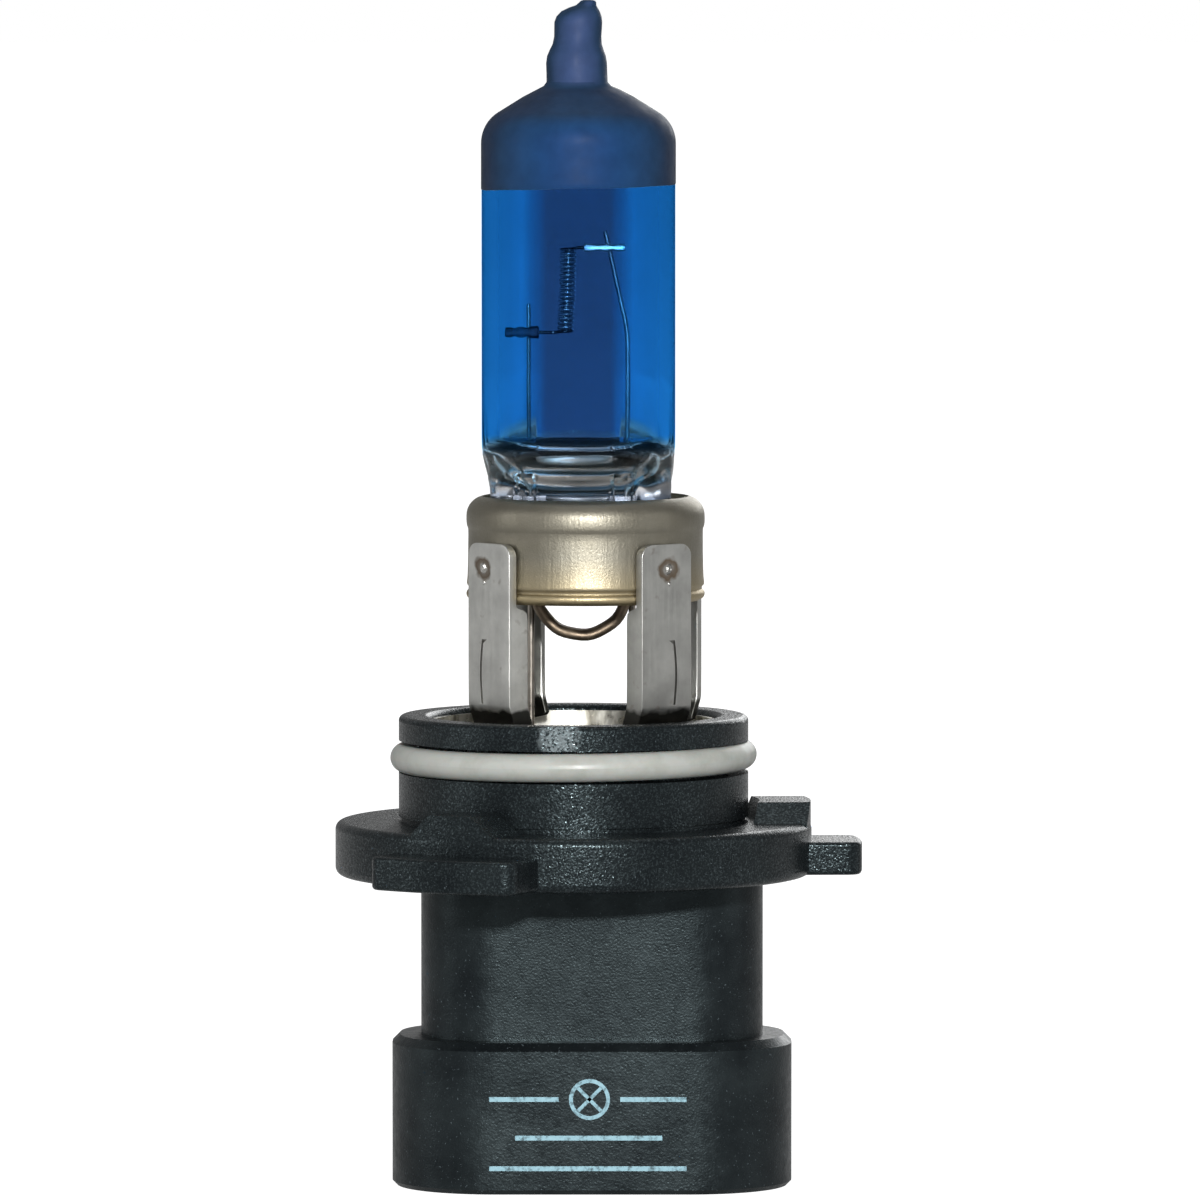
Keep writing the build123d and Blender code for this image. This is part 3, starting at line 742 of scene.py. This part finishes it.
def clamps():
    """Two clamps of one metal in lit and shaded copies: a painted highlight makes the clamp on the coil's
    head bright, painted shade makes the one on its foot dark.
    """
    bright = plain_metal("lit_clamp", (0.85, 0.88, 0.88), 0.38)
    dark = plain_metal("painted_shade_clamp", (0.025, 0.02, 0.03), 0.5)
    crimped_tube("upper_crimp", "upper_filament_clamp", 0.65, 3.2, 0.225, COIL_HEAD[2], bright)
    crimped_tube("lower_crimp", "lower_filament_clamp", -2.15, -4.3, 0.34, COIL_FOOT[2], dark)


def lead_in(name, node, points, radius, material):
    """Round wire from the pinch to a clamp."""
    bm = bmesh.new()
    tube(bm, points, radius, 20)
    return new_piece(name, bm, material, node)


def capsule_wires():
    """The two supports that carry the coil, from the foils in the pinch. They are one metal in lit and shaded
    copies: painted shade makes the short one darker than the long one.
    """
    y = 0.59
    short = [(-2.83, y, 19.2), (-2.83, y, 22.0), (-2.84, y, 25.0), (-2.82, y, 28.0), (-2.83, y, 30.8),
             (-2.83, y, 30.95)]
    # Painted shade: the short support is a darker copy of the long one's metal.
    shaded = plain_metal("painted_shade_wire", (0.17, 0.18, 0.19), 0.42)
    lead_in("short_support_wire", "short_lead_in_wire", short, [0.13] * 5 + [0.09], shaded)
    y = 0.475
    long = [(3.4, y, 19.2), (3.4, y, 22.0), (3.41, y, 25.0), (3.4, y, 28.0), (3.37, y, 29.0),
            (3.25, y, 29.9), (2.95, y, 31.2), (2.3, y, 34.1), (2.0, y, 35.35), (1.97, y, 35.48)]
    bright = plain_metal("lit_wire", (0.33, 0.35, 0.37), 0.38)
    lead_in("long_support_wire", "long_lead_in_wire", long, [0.15] * 9 + [0.1], bright)


# ---------------------------------------------------------------- ferrule and legs


def dent(a, z):
    """Small unevenness of the drawn wall."""
    return 0.012 * noise.noise(Vector((2 * math.cos(a), 2 * math.sin(a), 0.5 * z)))


def ferrule_sleeve(material):
    """Drawn sleeve: rounded shoulder, a set line under it, a waist at the foot and a rolled bead."""
    outer = arc((6.2, 17.8), 1.22, 80, 0, 10)
    outer += [(7.425, 17.6), (7.415, 17.35), (7.385, 17.17), (7.34, 17.06), (7.31, 16.95), (7.305, 16.5),
              (7.315, 15.6), (7.335, 14.6), (7.355, 14.0), (7.385, 13.7), (7.39, 13.58), (7.36, 13.48),
              (7.27, 13.4), (7.24, 13.32)]
    outer += arc((7.09, 12.93), 0.335, 62, -75, 10)
    inner = [(7.1, 12.55), (7.078, 12.7), (7.078, 17.8)] + arc((6.2, 17.8), 0.878, 0, 72, 8)
    bm = bmesh.new()
    loops = []
    for r, z in outer + inner:
        loops.append(circle(r, z, FERRULE_X, 0, 160, dent if r > 7.2 else None))
    rings = skin(bm, loops)
    bridge(bm, rings[-1], rings[0])
    bmesh.ops.recalc_face_normals(bm, faces=bm.faces)
    return new_piece("drawn_ferrule", bm, material, "capsule_ferrule", 50.0)


def on_leg(azimuth, across, out, z):
    """Place on a leg: across its face, out from the ferrule's wall, and up."""
    a = math.radians(azimuth)
    x, y = across, -FERRULE_R - out
    return (FERRULE_X + x * math.cos(a) - y * math.sin(a), x * math.sin(a) + y * math.cos(a), z)


def leg_section(azimuth, inner_side, half, fold, z):
    """Outline of a leg at a height: the flat strip with its inner edge folded back by fold."""
    bend, thick, nick = 0.08, LEG_THICK, 0.04
    lean = 0.45 * smooth_step((6.5 - z) / 1.7)
    outline = [(-half + nick, thick), (-half / 2, thick), (0, thick), (half / 2, thick)]
    for i in range(7):
        a = math.radians(90 - 15 * i)
        outline.append((half - bend + bend * math.cos(a), thick - bend + bend * math.sin(a)))
    outline += [(half, nick - fold), (half - nick, -fold), (half - 0.3, -fold), (half - 0.35, nick - fold)]
    outline += [(half - 0.36, -0.01), (half - 0.42, 0.0), (0, 0.0), (-half + nick, 0.0), (-half, nick),
                (-half, thick - nick)]
    return [on_leg(azimuth, inner_side * w, out - lean, z) for w, out in outline]


def slit_cutter(azimuth, inner_side):
    """Slender bowed slot with a small hook at its top."""
    bm = bmesh.new()
    loops = []
    steps = 16
    for i in range(steps + 1):
        t = i / steps
        z = SLIT_BOTTOM + SLIT_LENGTH * t
        middle = -0.62 - 0.16 * math.sin(math.pi * t) + 0.05 * t
        hook = 0.3 if i == steps else 0.0
        near, far = middle - SLIT_HALF, middle + SLIT_HALF + hook
        corners = ((near, -0.5), (far, -0.5), (far, 1), (near, 1))
        loops.append([on_leg(azimuth, inner_side * u, out, z) for u, out in corners])
    stack(bm, loops)
    bmesh.ops.recalc_face_normals(bm, faces=bm.faces)
    return bm


def cut(bm, cutter):
    """Cuts one closed mesh out of another and gives back the result."""
    made = []
    for source in (bm, cutter):
        mesh = bpy.data.meshes.new("work")
        source.to_mesh(mesh)
        source.free()
        made.append(bpy.data.objects.new("work", mesh))
        bpy.context.scene.collection.objects.link(made[-1])
    step = made[0].modifiers.new("cut", "BOOLEAN")
    step.operation, step.solver, step.object = "DIFFERENCE", "EXACT", made[1]
    result = bmesh.new()
    result.from_object(made[0], bpy.context.evaluated_depsgraph_get())
    for work in made:
        bpy.data.meshes.remove(work.data)
    return result


def weld_bead(bm, azimuth, across, z, radius, height):
    """Small uneven dome of melted metal on a leg's face."""
    rows = ((1.0, -0.06), (0.98, 0.0), (0.8, 0.45), (0.62, 0.9), (0.45, 1.0), (0.25, 0.72), (0.1, 0.6))
    loops = []
    for k, (share, lift) in enumerate(rows):
        loop = []
        for i in range(24):
            a = 2 * math.pi * i / 24
            r = radius * share * (1 + 0.14 * math.sin(2 * a + across) + 0.08 * math.sin(5 * a + k))
            out = LEG_THICK + (lift * height if lift > 0 else lift)
            loop.append(on_leg(azimuth, across + 0.75 * r * math.cos(a), out, z + r * math.sin(a)))
        loops.append(loop)
    stack(bm, loops)


def leg_levels():
    """(height, half width, fold) up a leg: its tab in the cup, the folded strip, and the flat, round head."""
    levels = [(z, TAB_HALF, 0.0) for z in (-1.5, 2.0, 4.3)]
    levels += [(4.55, 1.15, 0.0), (4.75, 1.6, 0.3), (4.9, 1.97, 0.9)]
    levels += [(z, LEG_HALF, FOLD) for z in (5.1, 5.4, 5.7, 6.0, 6.3, 8.0, 11.6)]
    fading = ((12.0, 1.05), (12.2, 0.8), (12.35, 0.3), (12.45, 0.2), (14.0, 0.2))
    levels += [(z, LEG_HALF, fold) for z, fold in fading]
    for i in range(9):
        a = math.radians(11.0 * i)
        levels.append((15.5 + 0.8 * math.sin(a), 1.2 + 0.8 * math.cos(a), 0.2 * math.cos(a)))
    return levels


def stamped_leg(number, azimuth, inner_side, weld_across, tone):
    """One leg, from the weld on the ferrule down to its tab in the cup."""
    bm = bmesh.new()
    stack(bm, [leg_section(azimuth, inner_side, half, fold, z) for z, half, fold in leg_levels()])
    bmesh.ops.recalc_face_normals(bm, faces=bm.faces)
    bm = cut(bm, slit_cutter(azimuth, inner_side))
    weld_bead(bm, azimuth, weld_across, WELD_Z, 0.34, 0.12)
    weld_bead(bm, azimuth, weld_across + 0.05, SPATTER_Z, 0.14, 0.05)
    bmesh.ops.recalc_face_normals(bm, faces=bm.faces)
    material = leg_steel(number, tone, on_leg(azimuth, weld_across, LEG_THICK, WELD_Z))
    return new_piece(f"stamped_leg_{number}", bm, material, f"support_leg_{number}")


def retainer_strap(material):
    """Half-round strap with rounded edges, thinned at its ends where the leads pass."""
    bm = bmesh.new()
    steps, sides = 26, 28
    loops = []
    for i in range(steps + 1):
        a = math.pi * (1 + i / steps)
        facet = 0.025 * math.cos(9 * a)
        end = min(i, steps - i) / steps
        thick = BOW_THICK - 0.34 * window(end, 0.03, 0.05)
        middle = BOW_INSIDE_R + thick / 2 + facet
        loop = []
        for k in range(sides):
            b = 2 * math.pi * k / sides
            c, h = math.cos(b), math.sin(b)
            r = middle + thick / 2 * c
            y = BOW_WIDTH / 2 * math.copysign(abs(h) ** 0.35, h)
            loop.append((BOW_X + r * math.cos(a), y, BOW_TOP + r * math.sin(a)))
        loops.append(loop)
    stack(bm, loops)
    bmesh.ops.recalc_face_normals(bm, faces=bm.faces)
    return new_piece("retainer_strap", bm, material, "retainer_bow")


# ---------------------------------------------------------------- printed mark


def ink_line(bm, path, width):
    """Thin raised line of ink on the band's front face along (x, z) points. A path that ends where it starts
    is a closed one."""
    closed = math.dist(path[0], path[-1]) < 1e-6
    spine = path[:-1] if closed else path
    count = len(spine)
    low, high = BAND_FRONT + 0.004, BAND_FRONT - 0.012
    rows = []
    for i, (x, z) in enumerate(spine):
        before = spine[i - 1] if i or closed else spine[i]
        after = spine[(i + 1) % count] if i < count - 1 or closed else spine[i]
        dx, dz = after[0] - before[0], after[1] - before[1]
        size = math.hypot(dx, dz)
        nx, nz = -dz / size * width / 2, dx / size * width / 2
        corners = ((x + nx, low, z + nz), (x - nx, low, z - nz),
                   (x - nx, high, z - nz), (x + nx, high, z + nz))
        rows.append([bm.verts.new(c) for c in corners])
    for near, far in zip(rows, rows[1:]):
        bridge(bm, near, far)
    if closed:
        bridge(bm, rows[-1], rows[0])
    else:
        bm.faces.new(rows[0][::-1])
        bm.faces.new(rows[-1])


def printed_mark(material):
    """Plain pad-printed mark: the lamp symbol, a ring with a cross, between rules, and two rules below."""
    bm = bmesh.new()
    x, z, r = 1.0, -18.0, 1.15
    ring = []
    for k in range(36):
        a = math.radians(10 * k)
        ring.append((x + r * math.cos(a), z + r * math.sin(a)))
    ink_line(bm, ring + ring[:1], 0.24)
    reach = (r - 0.1) * math.sqrt(0.5)
    for rise in (-1, 1):
        ink_line(bm, [(x - reach, z - rise * reach), (x + reach, z + rise * reach)], 0.22)
    for start, end, level in ((-5.2, -0.9, z), (2.9, 7.0, z), (-3.6, 5.5, -20.4), (-5.2, 7.0, -22.3)):
        ink_line(bm, [(start + (end - start) * k / 12, level) for k in range(13)], 0.3)
    bmesh.ops.recalc_face_normals(bm, faces=bm.faces)
    return new_piece("printed_mark", bm, material)


# ---------------------------------------------------------------- stage


def stage():
    """Plain pale floor. Seen through glass, it brightens to the surround's white away from the bulb."""
    bm = bmesh.new()
    floor_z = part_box("base_housing")[0].z / MM
    rings = skin(bm, [circle(r, floor_z, 0, 0, 64) for r in (1.0, 200.0, 1000.0, 6000.0)])
    bm.faces.new(rings[0])
    bmesh.ops.recalc_face_normals(bm, faces=bm.faces)
    for v in bm.verts:
        v.co *= MM
    mesh = bpy.data.meshes.new("floor")
    bm.to_mesh(mesh)
    bm.free()
    s = Surface("floor", (0.3, 0.3, 0.3), 0.7, Specular_IOR_Level=0.0)
    s.link(s.ramp(s.noise(60.0, 2.0), (0.3, 0.29), (0.7, 0.31)), "Base Color")
    s.set("Emission Color", (1, 1, 1, 1))
    radius = s.node("ShaderNodeVectorMath", {0: s.place}, operation="LENGTH").outputs["Value"]
    s.link(by_ray(s.tree, s.span(radius, 60 * MM, 200 * MM, DIM, BACKDROP)), "Emission Strength")
    mesh.materials.append(s.material)
    floor = bpy.data.objects.new("floor", mesh)
    bpy.context.scene.collection.objects.link(floor)


def aim(thing, place, target):
    """Puts a lamp or camera at a place, looking at a target."""
    thing.location = Vector(place) * MM
    thing.rotation_mode = "QUATERNION"
    thing.rotation_quaternion = (Vector(place) - Vector(target)).to_track_quat("Z", "Y")
    bpy.context.scene.collection.objects.link(thing)


def area_light(name, place, target, size, watts):
    """Rectangular lamp."""
    data = bpy.data.lights.new(name, "AREA")
    data.shape = "RECTANGLE"
    data.size, data.size_y = size[0] * MM, size[1] * MM
    data.energy = watts
    aim(bpy.data.objects.new(name, data), place, target)


def by_ray(tree, through):
    """Brightness of the surround: plain for the camera, dim for lighting, and its own through glass."""
    path = tree.nodes.new("ShaderNodeLightPath")
    level = SURROUND
    for ray, value in (("Is Transmission Ray", through), ("Is Camera Ray", BACKDROP)):
        pick = tree.nodes.new("ShaderNodeMix")
        tree.links.new(path.outputs[ray], pick.inputs[0])
        for slot, side in ((2, level), (3, value)):
            if isinstance(side, float):
                pick.inputs[slot].default_value = side
            else:
                tree.links.new(side, pick.inputs[slot])
        level = pick.outputs[0]
    return level


def surround():
    """Plain white all round. Through glass it is bright along the horizon and dim above and below."""
    world = bpy.data.worlds.new("studio")
    world.use_nodes = True
    tree = world.node_tree
    axis = tree.nodes.new("ShaderNodeSeparateXYZ")
    tree.links.new(tree.nodes.new("ShaderNodeTexCoord").outputs["Generated"], axis.inputs[0])
    steep = tree.nodes.new("ShaderNodeMath")
    steep.operation = "ABSOLUTE"
    tree.links.new(axis.outputs["Z"], steep.inputs[0])
    band = tree.nodes.new("ShaderNodeMapRange")
    for socket, value in (("From Min", 0.3), ("From Max", 0.6), ("To Min", BACKDROP), ("To Max", DIM)):
        band.inputs[socket].default_value = value
    tree.links.new(steep.outputs[0], band.inputs["Value"])
    background = tree.nodes["Background"].inputs
    tree.links.new(by_ray(tree, band.outputs[0]), background["Strength"])
    background["Color"].default_value = (1, 1, 1, 1)
    bpy.context.scene.world = world


def camera():
    """Long lens, a little above the cap, square to the plug's flat front."""
    data = bpy.data.cameras.new("camera")
    data.lens, data.sensor_width = LENS, SENSOR
    data.clip_start, data.clip_end = 0.01, 50.0
    view = bpy.data.objects.new("camera", data)
    aim(view, CAMERA_PLACE, CAMERA_AIM)
    bpy.context.scene.camera = view


# ---------------------------------------------------------------- the bulb


def paint_nodes(material, *names):
    """Gives CAD nodes that keep their mesh a finished material."""
    for name in names:
        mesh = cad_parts[name].data
        mesh.materials.clear()
        mesh.materials.append(material)


def carried_over_nodes():
    paint_nodes(housing_plastic(), "base_housing")
    paint_nodes(silicone(), "seal_ring")
    paint_nodes(potting_resin(), "potting_seal")
    paint_nodes(drawn_cup(), "support_cup")
    plates = plain_metal("plate_steel", (0.42, 0.39, 0.35), 0.35)
    paint_nodes(plates, "lower_retainer_plate", "upper_retainer_plate")
    tin = plain_metal("blade_tin", (0.72, 0.71, 0.68), 0.28)
    paint_nodes(tin, "left_terminal_blade", "right_terminal_blade")
    nickel = plain_metal("lead_nickel", (0.34, 0.31, 0.27), 0.35)
    paint_nodes(nickel, "left_outer_lead", "right_outer_lead")
    molybdenum = plain_metal("molybdenum", (0.36, 0.36, 0.38), 0.3)
    paint_nodes(molybdenum, "left_foil", "right_foil")


def detailed_pieces():
    retainer_strap(plain_metal("bow_steel", (0.26, 0.205, 0.15), 0.5))
    printed_mark(print_ink())
    for number, leg in enumerate(LEGS, 1):
        stamped_leg(number, *leg)
    ferrule_sleeve(satin_nickel())
    glass_capsule(quartz())
    painted_cap(blackout_paint())
    filter_sleeve(filter_film())
    filament_coil(tungsten())
    clamps()
    capsule_wires()


camera()
stage()
surround()
for lamp in LAMPS:
    area_light(*lamp)
bpy.context.scene.view_settings.view_transform = "Standard"
carried_over_nodes()
detailed_pieces()
